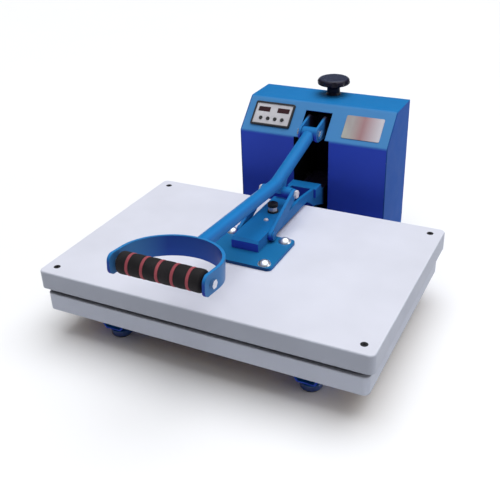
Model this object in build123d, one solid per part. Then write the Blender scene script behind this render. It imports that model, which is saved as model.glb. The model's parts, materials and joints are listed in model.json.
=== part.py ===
from build123d import *
import math
import os

os.makedirs("parts", exist_ok=True)

# Clamshell heat press. Millimetres, +Z up, the front (handle side) towards -Y.
# The pieces are drawn 9.6 mm further back than they stand: CENTRE_Y brings the
# middle of the machine's overall box over the origin, which lies on the floor.

CENTRE_Y = -9.6
GAP = 0.3  # air between pieces that move past each other
FIT = 0.06  # radial clearance of a turning pin in its bore
SHEET = 2.0  # folded sheet steel

# Platen cover and heating plate
COVER_W = 620.0
COVER_D = 426.5
COVER_MID_Y = -73.0
COVER_TOP = 137.0
COVER_H = 34.7
COVER_CORNER_R = 11.0
PLATE_W = 598.0
PLATE_D = 404.0
PLATE_T = 13.0
PLATE_BOTTOM = 97.3
PLATE_TOP = PLATE_BOTTOM + PLATE_T
SCREW_X = 286.0
SCREW_DY = 189.0

# Lower table and pad
TABLE_W = 604.0
TABLE_FRONT = -282.0
TABLE_BACK = 127.0
TABLE_BOTTOM = 57.5
TABLE_TOP = 90.8
PAD_T = PLATE_BOTTOM - GAP - TABLE_TOP

# Base
FOOT_H = 14.0
PAD_H = 2.0
PAD_R = 17.0
DISC_R = 19.5
BASE_PLATE_T = 8.0
BASE_PLATE_TOP = FOOT_H + BASE_PLATE_T
RAIL_X = 188.5
RAIL_TOP_HALF = 31.0
RAIL_LOW_HALF = 16.0
RAIL_TOP = 47.0
RAIL_FRONT = -252.0
RAIL_BACK = 226.0
RAIL_WALL = 2.5
FRONT_FOOT_Y = -227.0
CROSS_BAR_HALF = 211.0
REAR_FOOT_X = 140.0
REAR_FOOT_Y = 345.0
STUD_R = 4.0

# Tower housing: outer profile in the YZ plane
TOWER_HALF = 163.3
TOWER_FRONT = 227.0
TOWER_BACK = 373.0
FOLD_LOW = (TOWER_FRONT, 244.0)
FOLD_HIGH = (288.0, 302.5)
TOWER_TOP = 302.5
SLOPE_ANGLE = math.degrees(math.atan2(FOLD_HIGH[1] - FOLD_LOW[1], FOLD_HIGH[0] - FOLD_LOW[0]))
SLOT_HALF_LOW = 39.0
SLOT_HALF_HIGH = 29.5
SLOT_BOTTOM = 70.0
SLOT_SLOPE_END = 64.0

# Pivots as (y, z): lever on the fork, knee, links on the arm, arm in the tower
PIVOT_A = (222.0, 258.0)
PIVOT_B = (65.0, 195.0)
PIVOT_C = (-37.0, 155.0)
PIVOT_D = (312.0, 112.0)
SHAFT_R = 12.5
LEVER_BOLT_R = 6.5
LINK_PIN_R = 6.0

# Arm
ARM_IN = 21.0
ARM_OUT = 27.0
ARM_FRONT = -85.0
ARM_BOTTOM = 143.0
ARM_TOP = 164.0
ARM_PLATE_END = 95.0
BLOCK_HALF = 32.0
BLOCK_FRONT = 177.0
BLOCK_BACK = 207.0
BLOCK_BOTTOM = 137.0
BLOCK_TOP = 157.0
STOP_Y = 37.0
MOUNT_W = 142.0
MOUNT_D = 114.0
BOLT_DX = 54.0
BOLT_DY = 44.0

# Links
LINK_IN = 28.5
LINK_OUT = 34.5
LINK_END_R = 9.5

# Inner frame, fork and pressure screw
UPRIGHT_IN = 42.0
UPRIGHT_OUT = 52.0
SCREW_Y = 354.0
SCREW_R = 8.0
BRIDGE_BOTTOM = 286.0
BRIDGE_TOP = 298.0
FORK_HALF = 20.0
CHEEK_T = 5.0
FORK_BOTTOM = 240.0
FORK_TOP = 272.0

# Lever and handle
TUBE_R = 12.5
TUBE_BORE_R = 10.0
SLEEVE_HALF = FORK_HALF - CHEEK_T - GAP
BEND = (52.0, 215.0)
HANDLE_BACK = (-245.3, 231.0)
HANDLE_TILT = -6.28
HANDLE_R = 84.0
STRIP_T = 5.0
STRIP_H = 34.5
STRIP_SIDE = 40.5
GRIP_Y = -349.5
GRIP_HALF = 73.0
GRIP_R = 18.0
GRIP_ROD_R = 6.0
RING_W = 5.0
RING_DEPTH = 3.0
RING_PITCH = 26.0

# Knob
KNOB_BOTTOM = 324.0
KNOB_TOP = 338.5
KNOB_R = 35.0
NECK_R = 14.0
KNOB_LOBES = 8

# Control panel on the slope: distances along the slope from the lower fold
PANEL_X = -100.0
PANEL_W = 91.0
PANEL_LOW = 15.5
PANEL_HIGH = 71.3
PANEL_MID = (PANEL_LOW + PANEL_HIGH) / 2
BEZEL_T = 4.0
BEZEL_RIM = 4.0
FACE_T = 2.0
BUTTON_R = 3.9
BUTTON_PITCH = 16.5
BUTTON_S = PANEL_MID - 11.0
DISPLAY_S = PANEL_MID + 10.0
DISPLAY_DX = 22.0
DISPLAY_W = 27.0
DISPLAY_H = 11.0
LABEL_X = 102.0
LABEL_W = 80.0
LABEL_LOW = 12.0
LABEL_HIGH = 64.0

# Rear panel
INLET_X = 125.0
INLET_Z = 60.0
SWITCH_X = 75.0
TRUNNION_R = 1.6


def block(x0, x1, y0, y1, z0, z1):
    """A box between the given limits."""
    size = (x1 - x0, y1 - y0, z1 - z0)
    return Pos((x0 + x1) / 2, (y0 + y1) / 2, (z0 + z1) / 2) * Box(*size)


def rod_z(x, y, z0, z1, r):
    """A round bar along Z."""
    return Pos(x, y, (z0 + z1) / 2) * Cylinder(r, z1 - z0)


def rod_x(point, x0, x1, r):
    """A round bar along X through point (y, z)."""
    return Pos((x0 + x1) / 2, point[0], point[1]) * Rot(0, 90, 0) * Cylinder(r, x1 - x0)


def hex_x(point, x0, x1, across):
    """A hexagon bar along X through point (y, z), across its flats."""
    face = RegularPolygon(across / 2, 6, major_radius=False)
    plane = Plane(origin=(x0, point[0], point[1]), x_dir=(0, 1, 0), z_dir=(1, 0, 0))
    return extrude(plane * face, x1 - x0)


def hex_z(x, y, z0, z1, across):
    """A hexagon bar along Z, across its flats."""
    face = RegularPolygon(across / 2, 6, major_radius=False)
    return extrude(Pos(x, y, z0) * face, z1 - z0)


def prism_x(points, x0, x1, rounds=()):
    """A YZ outline extruded along X. rounds holds (corner number, radius) pairs."""
    face = make_face(Polyline(*points, close=True))
    for index, radius in rounds:
        corner = Vector(*points[index])
        near = face.vertices().sort_by_distance(corner)[0]
        face = fillet(near, radius)
    return extrude(Plane.YZ.offset(x0) * face, x1 - x0)


def bar_yz(start, end, x0, x1, r):
    """A flat bar with round ends between two (y, z) points."""
    along = math.degrees(math.atan2(end[1] - start[1], end[0] - start[0]))
    length = math.hypot(end[0] - start[0], end[1] - start[1])
    middle = ((start[0] + end[0]) / 2, (start[1] + end[1]) / 2)
    face = Pos(*middle) * Rot(0, 0, along) * SlotCenterToCenter(length, 2 * r)
    return extrude(Plane.YZ.offset(x0) * face, x1 - x0)


def slope_plane(x, s, lift=0.0):
    """A plane on the control slope: local X across, local Y up the slope, Z outwards."""
    a = math.radians(SLOPE_ANGLE)
    y = FOLD_LOW[0] + s * math.cos(a) - lift * math.sin(a)
    z = FOLD_LOW[1] + s * math.sin(a) + lift * math.cos(a)
    return Plane(origin=(x, y, z), x_dir=(1, 0, 0), z_dir=(0, -math.sin(a), math.cos(a)))


def slope_block(x, s, width, height, low, high, corner=0.0):
    """A block on the slope between two lifts, with rounded corners if asked."""
    face = RectangleRounded(width, height, corner) if corner else Rectangle(width, height)
    return extrude(slope_plane(x, s, low) * face, high - low)


def slope_rod(x, s, r, low, high):
    """A round bar square to the slope between two lifts."""
    return extrude(slope_plane(x, s, low) * Circle(r), high - low)


def group(shapes):
    """Several separate solids kept as one node."""
    return Compound(list(shapes))


def both(shape):
    """A shape and its mirror image across the middle plane."""
    return group([shape, mirror(shape, about=Plane.YZ)])


# Base

def rail_outline(inset):
    """Section of a base rail, wider at the top."""
    top = RAIL_TOP_HALF - inset
    low = RAIL_LOW_HALF - inset
    high_z = RAIL_TOP - inset
    low_z = BASE_PLATE_TOP + inset
    return [(-top, high_z), (top, high_z), (low, low_z), (-low, low_z)]


def base_rail(side):
    """A tapered tube with its front end open."""
    x = side * RAIL_X
    length = RAIL_BACK - RAIL_FRONT
    plane = Plane(origin=(x, RAIL_FRONT, 0), x_dir=(1, 0, 0), z_dir=(0, -1, 0))
    outer = extrude(plane * make_face(Polyline(*rail_outline(0.0), close=True)), -length)
    outer = fillet(outer.edges().filter_by(Axis.Y), 2.5)
    inner = extrude(plane * make_face(Polyline(*rail_outline(RAIL_WALL), close=True)), -(length - 3.0))
    return outer - inner - rod_z(x, FRONT_FOOT_Y, BASE_PLATE_TOP - 1, BASE_PLATE_TOP + 5, STUD_R)


def base_rails():
    return group([base_rail(-1), base_rail(1)])


def cross_bars():
    half = CROSS_BAR_HALF
    bars = [block(-half, half, y, y + 40.0, RAIL_TOP, TABLE_BOTTOM) for y in (-190.0, 60.0)]
    return group(bars)


def rear_feet_spots():
    return [(side * REAR_FOOT_X, REAR_FOOT_Y) for side in (-1, 1)]


def front_feet_spots():
    return [(side * RAIL_X, FRONT_FOOT_Y) for side in (-1, 1)]


def base_plate():
    half = RAIL_X + RAIL_LOW_HALF
    front = block(-half, half, 165.0, RAIL_BACK, FOOT_H, BASE_PLATE_TOP)
    rear = block(-TOWER_HALF, TOWER_HALF, RAIL_BACK, TOWER_BACK, FOOT_H, BASE_PLATE_TOP)
    plate = front + rear
    for x, y in rear_feet_spots():
        plate -= rod_z(x, y, FOOT_H - 1, BASE_PLATE_TOP + 1, STUD_R)
    return plate


def rubber_feet():
    feet = []
    for x, y in front_feet_spots() + rear_feet_spots():
        feet.append(rod_z(x, y, 0.0, PAD_H, PAD_R))
    return group(feet)


def foot_studs():
    """Levelling feet: a steel disc on the rubber pad, a stud and its nut."""
    studs = []
    for x, y in front_feet_spots() + rear_feet_spots():
        disc = rod_z(x, y, PAD_H, FOOT_H, DISC_R)
        disc = fillet(disc.edges().filter_by(GeomType.CIRCLE), 2.5)
        front = y < 0
        low, high = (FOOT_H, BASE_PLATE_TOP) if front else (BASE_PLATE_TOP, BASE_PLATE_TOP + 8)
        nut = hex_z(x, y, low + (2.5 if front else 0.0), high, 17.0)
        studs.append(disc + rod_z(x, y, FOOT_H - 2, BASE_PLATE_TOP + 12, STUD_R) + nut)
    return group(studs)


# Lower table

def table_body(inset, z1):
    half = TABLE_W / 2 - inset
    body = block(-half, half, TABLE_FRONT + inset, TABLE_BACK - inset, TABLE_BOTTOM, z1)
    return fillet(body.edges().filter_by(Axis.Z), COVER_CORNER_R - inset)


def table_core():
    return table_body(SHEET, TABLE_TOP - SHEET)


def table_skin():
    skin = table_body(0.0, TABLE_TOP)
    skin = fillet(skin.faces().sort_by(Axis.Z)[-1].edges(), 2.0)
    return skin - table_core()


def silicone_pad():
    half = PLATE_W / 2 - 1.0
    depth = PLATE_D / 2 - 1.0
    mid = COVER_MID_Y
    pad = block(-half, half, mid - depth, mid + depth, TABLE_TOP, TABLE_TOP + PAD_T)
    return fillet(pad.edges().filter_by(Axis.Z), 6.0)


# Platen

def cover_body(inset, z0, z1):
    half = COVER_W / 2 - inset
    depth = COVER_D / 2 - inset
    body = block(-half, half, COVER_MID_Y - depth, COVER_MID_Y + depth, z0, z1)
    return fillet(body.edges().filter_by(Axis.Z), COVER_CORNER_R - inset)


def corner_spots():
    return [(sx * SCREW_X, COVER_MID_Y + sy * SCREW_DY) for sx in (-1, 1) for sy in (-1, 1)]


def bolt_spots():
    return [(sx * BOLT_DX, COVER_MID_Y + sy * BOLT_DY) for sx in (-1, 1) for sy in (-1, 1)]


def screw_shape(x, y):
    """A countersunk screw in the cover, also used to cut its hole."""
    head = Pos(x, y, COVER_TOP - 1.5) * Cone(3.2, 6.2, 3.0)
    return head + rod_z(x, y, COVER_TOP - 12.0, COVER_TOP - 2.5, 3.0)


def platen_cover():
    body = cover_body(0.0, COVER_TOP - COVER_H, COVER_TOP)
    body = fillet(body.faces().sort_by(Axis.Z)[-1].edges(), 3.0)
    body -= cover_body(SHEET, COVER_TOP - COVER_H - 1, COVER_TOP - SHEET)
    for x, y in corner_spots():
        body -= screw_shape(x, y)
    for x, y in bolt_spots():
        body -= rod_z(x, y, COVER_TOP - SHEET - 1, COVER_TOP + 1, 6.0)
    return body


def corner_posts():
    posts = []
    for x, y in corner_spots():
        posts.append(rod_z(x, y, PLATE_TOP, COVER_TOP - SHEET, 8.0) - screw_shape(x, y))
    return group(posts)


def cover_screws():
    screws = []
    for x, y in corner_spots():
        socket = hex_z(x, y, COVER_TOP - 1.6, COVER_TOP + 1, 4.0)
        screws.append(screw_shape(x, y) - socket)
    return group(screws)


def heating_plate():
    depth = PLATE_D / 2
    plate = block(
        -PLATE_W / 2, PLATE_W / 2, COVER_MID_Y - depth, COVER_MID_Y + depth, PLATE_BOTTOM, PLATE_TOP
    )
    plate = fillet(plate.edges().filter_by(Axis.Z), 6.0)
    return chamfer(plate.faces().sort_by(Axis.Z)[0].edges(), 1.0)


def heating_element():
    """A tubular element laid in rows on the back of the plate."""
    rows = [-152.0, -92.0, 0.0, 92.0, 152.0]
    points = []
    for number, row in enumerate(rows):
        ends = (-250.0, 250.0) if number % 2 == 0 else (250.0, -250.0)
        points += [(ends[0], COVER_MID_Y + row), (ends[1], COVER_MID_Y + row)]
    level = PLATE_TOP + 4.0
    path = Pos(0, 0, level) * FilletPolyline(*points, radius=26.0)
    start = Plane(origin=path @ 0, z_dir=path % 0)
    return sweep(start * Circle(4.0), path=path)


def insulation():
    wool = block(-272.0, 272.0, COVER_MID_Y - 175.0, COVER_MID_Y + 175.0, PLATE_TOP + 8.5, COVER_TOP - SHEET)
    for x, y in bolt_spots():
        wool -= rod_z(x, y, PLATE_TOP, COVER_TOP, 12.0)
    return wool


def pressure_spacers():
    """Tubes that carry the clamping force from the mount plate to the heating plate."""
    tubes = []
    for x, y in bolt_spots():
        tube = rod_z(x, y, PLATE_TOP, COVER_TOP - SHEET, 12.0)
        tubes.append(tube - rod_z(x, y, PLATE_TOP - 1, COVER_TOP, 6.0))
    return group(tubes)


# Arm

def mount_plate():
    plate = block(
        -MOUNT_W / 2, MOUNT_W / 2, COVER_MID_Y - MOUNT_D / 2, COVER_MID_Y + MOUNT_D / 2, COVER_TOP, ARM_BOTTOM
    )
    plate = fillet(plate.edges().filter_by(Axis.Z), 9.0)
    for x, y in bolt_spots():
        plate -= rod_z(x, y, COVER_TOP - 1, ARM_BOTTOM + 1, 6.0)
    return plate


def dome_bolts():
    bolts = []
    for x, y in bolt_spots():
        dome = Pos(x, y, ARM_BOTTOM - 5.0) * Sphere(13.0)
        dome &= rod_z(x, y, ARM_BOTTOM, ARM_BOTTOM + 8.0, 12.0)
        bolts.append(dome + rod_z(x, y, PLATE_TOP + 2.0, ARM_BOTTOM, 6.0))
    return group(bolts)


def arm_side(x0, x1):
    d = PIVOT_D
    outline = [
        (ARM_FRONT, ARM_BOTTOM),
        (ARM_FRONT, ARM_TOP - 5.0),
        (ARM_FRONT + 5.0, ARM_TOP),
        (ARM_PLATE_END + 20.0, ARM_TOP),
        (BLOCK_FRONT, BLOCK_TOP),
        (BLOCK_FRONT, BLOCK_BOTTOM),
        (BLOCK_BACK, BLOCK_BOTTOM),
        (d[0], 134.0),
        (d[0], 90.0),
        (240.0, 96.0),
        (180.0, 118.0),
        (150.0, 138.0),
        (140.0, ARM_BOTTOM),
    ]
    side = prism_x(outline, x0, x1) + rod_x(d, x0, x1, 24.0)
    side -= rod_x(d, x0 - 1, x1 + 1, 16.0)
    return side - rod_x(PIVOT_C, x0 - 1, x1 + 1, LINK_PIN_R)


def arm_sides():
    return group([arm_side(ARM_IN, ARM_OUT), arm_side(-ARM_OUT, -ARM_IN)])


def arm_top_plate():
    """The bracket's top with its turned-down front and open back."""
    top = block(-ARM_IN, ARM_IN, ARM_FRONT, ARM_PLATE_END, ARM_TOP - 6.0, ARM_TOP)
    front = block(-ARM_IN, ARM_IN, ARM_FRONT, ARM_FRONT + 6.0, ARM_BOTTOM, ARM_TOP - 6.0)
    plate = top + front
    edge = plate.edges().filter_by(Axis.X).sort_by_distance((0, ARM_FRONT, ARM_TOP))[0]
    plate = chamfer(edge, 4.9)
    plate -= rod_z(3.0, 0.0, ARM_TOP - 7, ARM_TOP + 1, 2.5)
    return plate - rod_z(0.0, STOP_Y, ARM_TOP - 7, ARM_TOP + 1, 4.0)


def arm_rear_block():
    """Cross block on the arm's sides, with a web back to the hub on the pivot shaft."""
    body = block(-BLOCK_HALF, BLOCK_HALF, BLOCK_FRONT, BLOCK_BACK, BLOCK_BOTTOM, BLOCK_TOP)
    upper = body.edges().filter_by_position(Axis.Z, BLOCK_TOP, BLOCK_TOP)
    body = fillet(upper, 2.0)
    body += block(-ARM_IN, ARM_IN, 190.0, 300.0, 108.0, BLOCK_BOTTOM - 3.0)
    body += block(-ARM_IN, ARM_IN, 190.0, BLOCK_BACK, 130.0, BLOCK_BOTTOM + 1.0)
    body += rod_x(PIVOT_D, -ARM_IN, ARM_IN, 24.0)
    return body - rod_x(PIVOT_D, -ARM_IN - 1, ARM_IN + 1, 16.0)


def arm_bush(x0, x1):
    bush = rod_x(PIVOT_D, x0, x1, 16.0)
    return bush - rod_x(PIVOT_D, x0 - 1, x1 + 1, SHAFT_R + FIT)


def arm_bushes():
    return group([arm_bush(8.0, ARM_OUT), arm_bush(-ARM_OUT, -8.0)])


def link_pin(side):
    """Pin of a link on the arm, with its collar and thin head."""
    pin = rod_x(PIVOT_C, ARM_IN, LINK_OUT + GAP, LINK_PIN_R)
    pin += rod_x(PIVOT_C, ARM_OUT, LINK_IN - GAP, 8.5)
    pin += rod_x(PIVOT_C, LINK_OUT + GAP, LINK_OUT + 2.8, 8.0)
    return pin if side > 0 else mirror(pin, about=Plane.YZ)


def link_pins():
    return group([link_pin(1), link_pin(-1)])


def stop_rubber():
    """Black washer on the arm and rubber cap on the bolt's head."""
    washer = rod_z(0.0, STOP_Y, ARM_TOP, ARM_TOP + 3.0, 10.5)
    washer -= rod_z(0.0, STOP_Y, ARM_TOP - 1, ARM_TOP + 4, 4.0)
    cap = rod_z(0.0, STOP_Y, ARM_TOP + 12.0, ARM_TOP + 19.0, 10.0)
    cap = fillet(cap.edges().sort_by(Axis.Z)[-1], 2.0)
    return group([washer, cap - rod_z(0.0, STOP_Y, ARM_TOP + 11.0, ARM_TOP + 16.0, 4.0)])


def stop_bolt():
    """Stop bolt with its nut, and the small screw before it."""
    bolt = rod_z(0.0, STOP_Y, ARM_TOP - 10.0, ARM_TOP + 16.0, 4.0)
    bolt += hex_z(0.0, STOP_Y, ARM_TOP + 3.0, ARM_TOP + 12.0, 15.0)
    screw = rod_z(3.0, 0.0, ARM_TOP - 9.0, ARM_TOP, 2.5)
    head = Pos(3.0, 0.0, ARM_TOP - 1.5) * Sphere(5.0)
    return group([bolt, screw + (head & rod_z(3.0, 0.0, ARM_TOP, ARM_TOP + 4.0, 5.0))])


# Links

def link(side):
    bar = bar_yz(PIVOT_C, PIVOT_B, LINK_IN, LINK_OUT, LINK_END_R)
    bar -= rod_x(PIVOT_C, LINK_IN - 1, LINK_OUT + 1, LINK_PIN_R + FIT)
    bar -= rod_x(PIVOT_B, LINK_IN - 1, LINK_OUT + 1, LINK_PIN_R)
    return bar if side > 0 else mirror(bar, about=Plane.YZ)


def knee_bolt(side):
    """Bolt of the knee pivot; it ends flush with the inner face of its link."""
    bolt = rod_x(PIVOT_B, LINK_IN, LINK_OUT, LINK_PIN_R) + hex_x(PIVOT_B, LINK_OUT, LINK_OUT + 5.0, 14.0)
    return bolt if side > 0 else mirror(bolt, about=Plane.YZ)


# Inner frame and pressure adjustment

def upright(side):
    low = BASE_PLATE_TOP
    outline = [(242.0, low), (242.0, 250.0), (290.0, 298.0), (368.0, 298.0), (368.0, low)]
    plate = prism_x(outline, UPRIGHT_IN, UPRIGHT_OUT)
    plate -= rod_x(PIVOT_D, UPRIGHT_IN - 1, UPRIGHT_OUT + 1, SHAFT_R)
    return plate if side > 0 else mirror(plate, about=Plane.YZ)


def uprights():
    return group([upright(1), upright(-1)])


def top_bridge():
    bridge = block(
        -UPRIGHT_IN, UPRIGHT_IN, SCREW_Y - 24.0, SCREW_Y + 14.0, BRIDGE_BOTTOM, BRIDGE_TOP
    )
    return bridge - rod_z(0.0, SCREW_Y, BRIDGE_BOTTOM - 1, BRIDGE_TOP + 1, SCREW_R + FIT)


def pivot_shaft():
    """The arm's shaft with a collar at each end outside the uprights."""
    shaft = rod_x(PIVOT_D, -UPRIGHT_OUT - 8.0, UPRIGHT_OUT + 8.0, SHAFT_R)
    for side in (-1, 1):
        low, high = sorted((side * UPRIGHT_OUT, side * (UPRIGHT_OUT + 8.0)))
        shaft += rod_x(PIVOT_D, low, high, 18.0)
        low, high = sorted((side * (ARM_OUT + GAP), side * UPRIGHT_IN))
        shaft += rod_x(PIVOT_D, low, high, 17.0)
    return shaft


def fork():
    """Block on the pressure screw with two cheeks that hold the lever's pivot."""
    body = block(
        -UPRIGHT_IN + GAP, UPRIGHT_IN - GAP, 300.0, SCREW_Y + 12.0, FORK_BOTTOM, FORK_TOP
    )
    outline = [
        (PIVOT_A[0], PIVOT_A[1] - 16.0),
        (PIVOT_A[0], PIVOT_A[1] + 16.0),
        (262.0, 283.0),
        (276.0, 276.0),
        (300.0, FORK_TOP),
        (300.0, FORK_BOTTOM),
        (262.0, FORK_BOTTOM),
    ]
    for low in (-FORK_HALF, FORK_HALF - CHEEK_T):
        high = low + CHEEK_T
        body += prism_x(outline, low, high) + rod_x(PIVOT_A, low, high, 16.0)
    body -= rod_x(PIVOT_A, -FORK_HALF - 1, FORK_HALF + 1, LEVER_BOLT_R)
    return body - rod_z(0.0, SCREW_Y, FORK_BOTTOM - 1, FORK_TOP + 1, SCREW_R + FIT)


def lever_bolt():
    bolt = rod_x(PIVOT_A, -FORK_HALF, FORK_HALF, LEVER_BOLT_R)
    bolt += hex_x(PIVOT_A, FORK_HALF, FORK_HALF + 5.0, 17.0)
    return bolt + hex_x(PIVOT_A, -FORK_HALF - 5.0, -FORK_HALF, 17.0)


def pressure_screw():
    screw = rod_z(0.0, SCREW_Y, 222.0, KNOB_BOTTOM + 8.0, SCREW_R)
    screw += rod_z(0.0, SCREW_Y, BRIDGE_BOTTOM - 5.0, BRIDGE_BOTTOM - GAP, 14.0)
    return chamfer(screw.edges().sort_by(Axis.Z)[0], 1.5)


def knob():
    """Lobed knob with a full, rounded rim and a neck that flares into its underside."""
    flare = (NECK_R, KNOB_BOTTOM - 5.0)
    rim_low = (KNOB_R, KNOB_BOTTOM + 2.5)
    rim_high = (KNOB_R, KNOB_TOP)
    outline = [
        (0.0, TOWER_TOP + GAP),
        (NECK_R + 2.0, TOWER_TOP + GAP),
        (NECK_R, TOWER_TOP + 5.0),
        flare,
        rim_low,
        rim_high,
        (0.0, KNOB_TOP),
    ]
    face = make_face(Polyline(*outline, close=True))
    for corner, radius in ((flare, 5.0), (rim_low, 4.0), (rim_high, 9.0)):
        near = face.vertices().sort_by_distance(Vector(*corner))[0]
        face = fillet(near, radius)
    body = Pos(0, SCREW_Y, 0) * revolve(Plane.XZ * face, Axis.Z)
    for k in range(KNOB_LOBES):
        a = 2 * math.pi * (k + 0.5) / KNOB_LOBES
        reach = KNOB_R + 11.0
        body -= rod_z(reach * math.cos(a), SCREW_Y + reach * math.sin(a), KNOB_BOTTOM - 1, KNOB_TOP + 1, 14.0)
    return body - rod_z(0.0, SCREW_Y, TOWER_TOP - 1, KNOB_BOTTOM + 8.0, SCREW_R)


# Lever and handle

def lever_tube():
    """Cranked tube welded to its pivot sleeve at the rear."""
    d = (BEND[0] - PIVOT_A[0], BEND[1] - PIVOT_A[1])
    reach = math.hypot(*d)
    start = (PIVOT_A[0] + d[0] * 10.0 / reach, PIVOT_A[1] + d[1] * 10.0 / reach)
    tip = (HANDLE_BACK[0] - 4.0, HANDLE_BACK[1] + 0.2)
    path = FilletPolyline((0, *start), (0, *BEND), (0, *tip), radius=90.0)
    plane = Plane(origin=path @ 0, z_dir=path % 0)
    tube = sweep(plane * Circle(TUBE_R), path=path) - sweep(plane * Circle(TUBE_BORE_R), path=path)
    tube += rod_x(PIVOT_A, -SLEEVE_HALF, SLEEVE_HALF, 13.5)
    tube -= rod_x(PIVOT_A, -SLEEVE_HALF - 1, SLEEVE_HALF + 1, LEVER_BOLT_R + FIT)
    return tube - in_handle_frame(Pos(0, HANDLE_BACK[0] - HANDLE_R, 0) * Cylinder(HANDLE_R, 80.0))


def knee_lug():
    """Plate under the tube with a cross boss for the knee pivot."""
    outline = [(88.0, 218.0), (30.0, 208.0), (PIVOT_B[0] - 11.0, PIVOT_B[1]), (PIVOT_B[0] + 11.0, PIVOT_B[1])]
    lug = prism_x(outline, -9.0, 9.0) + rod_x(PIVOT_B, -LINK_IN + 0.5, LINK_IN - 0.5, 11.0)
    lug -= rod_x(PIVOT_B, -LINK_IN, LINK_IN, LINK_PIN_R + 0.2)
    return lug - lever_tube_envelope()


def lever_tube_envelope():
    """The lever tube's outside as a solid bar."""
    d = (BEND[0] - PIVOT_A[0], BEND[1] - PIVOT_A[1])
    path = FilletPolyline((0, *PIVOT_A), (0, *BEND), (0, *HANDLE_BACK), radius=90.0)
    plane = Plane(origin=path @ 0, z_dir=path % 0)
    return sweep(plane * Circle(TUBE_R), path=path)


def in_handle_frame(shape):
    """Tilts a shape made level about the handle's back point to the tube's own slope."""
    pivot = Pos(0, HANDLE_BACK[0], HANDLE_BACK[1])
    return pivot * Rot(HANDLE_TILT, 0, 0) * Pos(0, -HANDLE_BACK[0], 0) * shape


def handle_strip():
    """Flat strip bent to a D, open towards the grip."""
    mid = HANDLE_BACK[0] - HANDLE_R
    end = mid - STRIP_SIDE
    ring = Cylinder(HANDLE_R, STRIP_H) - Cylinder(HANDLE_R - STRIP_T, STRIP_H + 2)
    ring = Pos(0, mid, 0) * ring & block(-200, 200, mid, mid + 200, -50, 50)
    strip = ring
    for side in (-1, 1):
        low, high = sorted((side * (HANDLE_R - STRIP_T), side * HANDLE_R))
        leg = block(low, high, end, mid, -STRIP_H / 2, STRIP_H / 2)
        corners = leg.edges().filter_by(Axis.X).group_by(Axis.Y)[0]
        leg = fillet(corners, 12.0)
        leg -= rod_x((GRIP_Y, 0.0), low - 1, high + 1, 4.0)
        strip += leg
    return in_handle_frame(strip)


def grip_rod():
    rod = rod_x((GRIP_Y, 0.0), -HANDLE_R + STRIP_T, HANDLE_R - STRIP_T, GRIP_ROD_R)
    for side in (-1, 1):
        low, high = sorted((side * (HANDLE_R - STRIP_T + 1), side * (HANDLE_R - 25.0)))
        rod -= rod_x((GRIP_Y, 0.0), low, high, 4.0)
    return in_handle_frame(rod)


def grip_bolts():
    bolts = []
    for side in (-1, 1):
        low, high = sorted((side * HANDLE_R, side * (HANDLE_R - 24.0)))
        bolt = rod_x((GRIP_Y, 0.0), low, high, 4.0)
        low, high = sorted((side * HANDLE_R, side * (HANDLE_R + 5.5)))
        bolt += hex_x((GRIP_Y, 0.0), low, high, 13.0)
        bolts.append(in_handle_frame(bolt))
    return group(bolts)


def ring_places():
    return [RING_PITCH * (k - 2) for k in range(5)]


def ring_at(x):
    ring = rod_x((GRIP_Y, 0.0), x - RING_W / 2, x + RING_W / 2, GRIP_R)
    return ring - rod_x((GRIP_Y, 0.0), x - RING_W, x + RING_W, GRIP_R - RING_DEPTH)


def foam_grip():
    foam = rod_x((GRIP_Y, 0.0), -GRIP_HALF, GRIP_HALF, GRIP_R)
    foam = fillet(foam.edges().filter_by(GeomType.CIRCLE), 3.0)
    foam -= rod_x((GRIP_Y, 0.0), -GRIP_HALF - 1, GRIP_HALF + 1, GRIP_ROD_R)
    for x in ring_places():
        foam -= ring_at(x)
    return in_handle_frame(foam)


def grip_rings():
    return group([in_handle_frame(ring_at(x)) for x in ring_places()])


# Tower housing

def tower_profile(x0, x1, inset):
    """The tower's outer shape, or its inner space when inset."""
    back = TOWER_BACK + (1.0 if inset else 0.0)
    low = BASE_PLATE_TOP - (1.0 if inset else 0.0)
    a = math.radians(SLOPE_ANGLE)
    drop = inset * math.tan(a / 2)
    lift = inset * math.tan((math.pi / 2 - a) / 2)
    outline = [
        (TOWER_FRONT + inset, low),
        (TOWER_FRONT + inset, FOLD_LOW[1] - lift),
        (FOLD_HIGH[0] + drop, TOWER_TOP - inset),
        (back, TOWER_TOP - inset),
        (back, low),
    ]
    return prism_x(outline, x0, x1, rounds=((1, 8.0 - inset), (2, 12.0 - inset)))


def arm_slot():
    """The opening for the arm in the front and for the lever's fork in the slope."""
    low = block(-SLOT_HALF_LOW, SLOT_HALF_LOW, TOWER_FRONT - 5, TOWER_FRONT + 5, SLOT_BOTTOM, FOLD_LOW[1])
    high = slope_block(0.0, SLOT_SLOPE_END / 2 - 4, 2 * SLOT_HALF_HIGH, SLOT_SLOPE_END + 8, -8.0, 8.0)
    return low + high


def housing_wrap():
    half = TOWER_HALF - SHEET
    wrap = tower_profile(-half, half, 0.0) - tower_profile(-half - 1, half + 1, SHEET)
    wrap -= arm_slot()
    wrap -= slope_block(PANEL_X, PANEL_MID, PANEL_W - 10, PANEL_HIGH - PANEL_LOW - 10, -8.0, 8.0)
    return wrap - rod_z(0.0, SCREW_Y, TOWER_TOP - 5, TOWER_TOP + 5, SCREW_R + 4.0)


def housing_sides():
    return both(tower_profile(TOWER_HALF - SHEET, TOWER_HALF, 0.0))


def vent_slots():
    """Cooling slots in the rear cover in two columns."""
    cuts = []
    for side in (-1, 1):
        for k in range(7):
            z = 190.0 + 13.0 * k
            x = side * 85.0
            cuts.append(block(x - 42, x + 42, TOWER_BACK - 5, TOWER_BACK + 2, z, z + 5.0))
    return cuts


def rear_screw_spots():
    return [(side * 150.0, z) for side in (-1, 1) for z in (34.0, 160.0, 288.0)]


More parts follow.
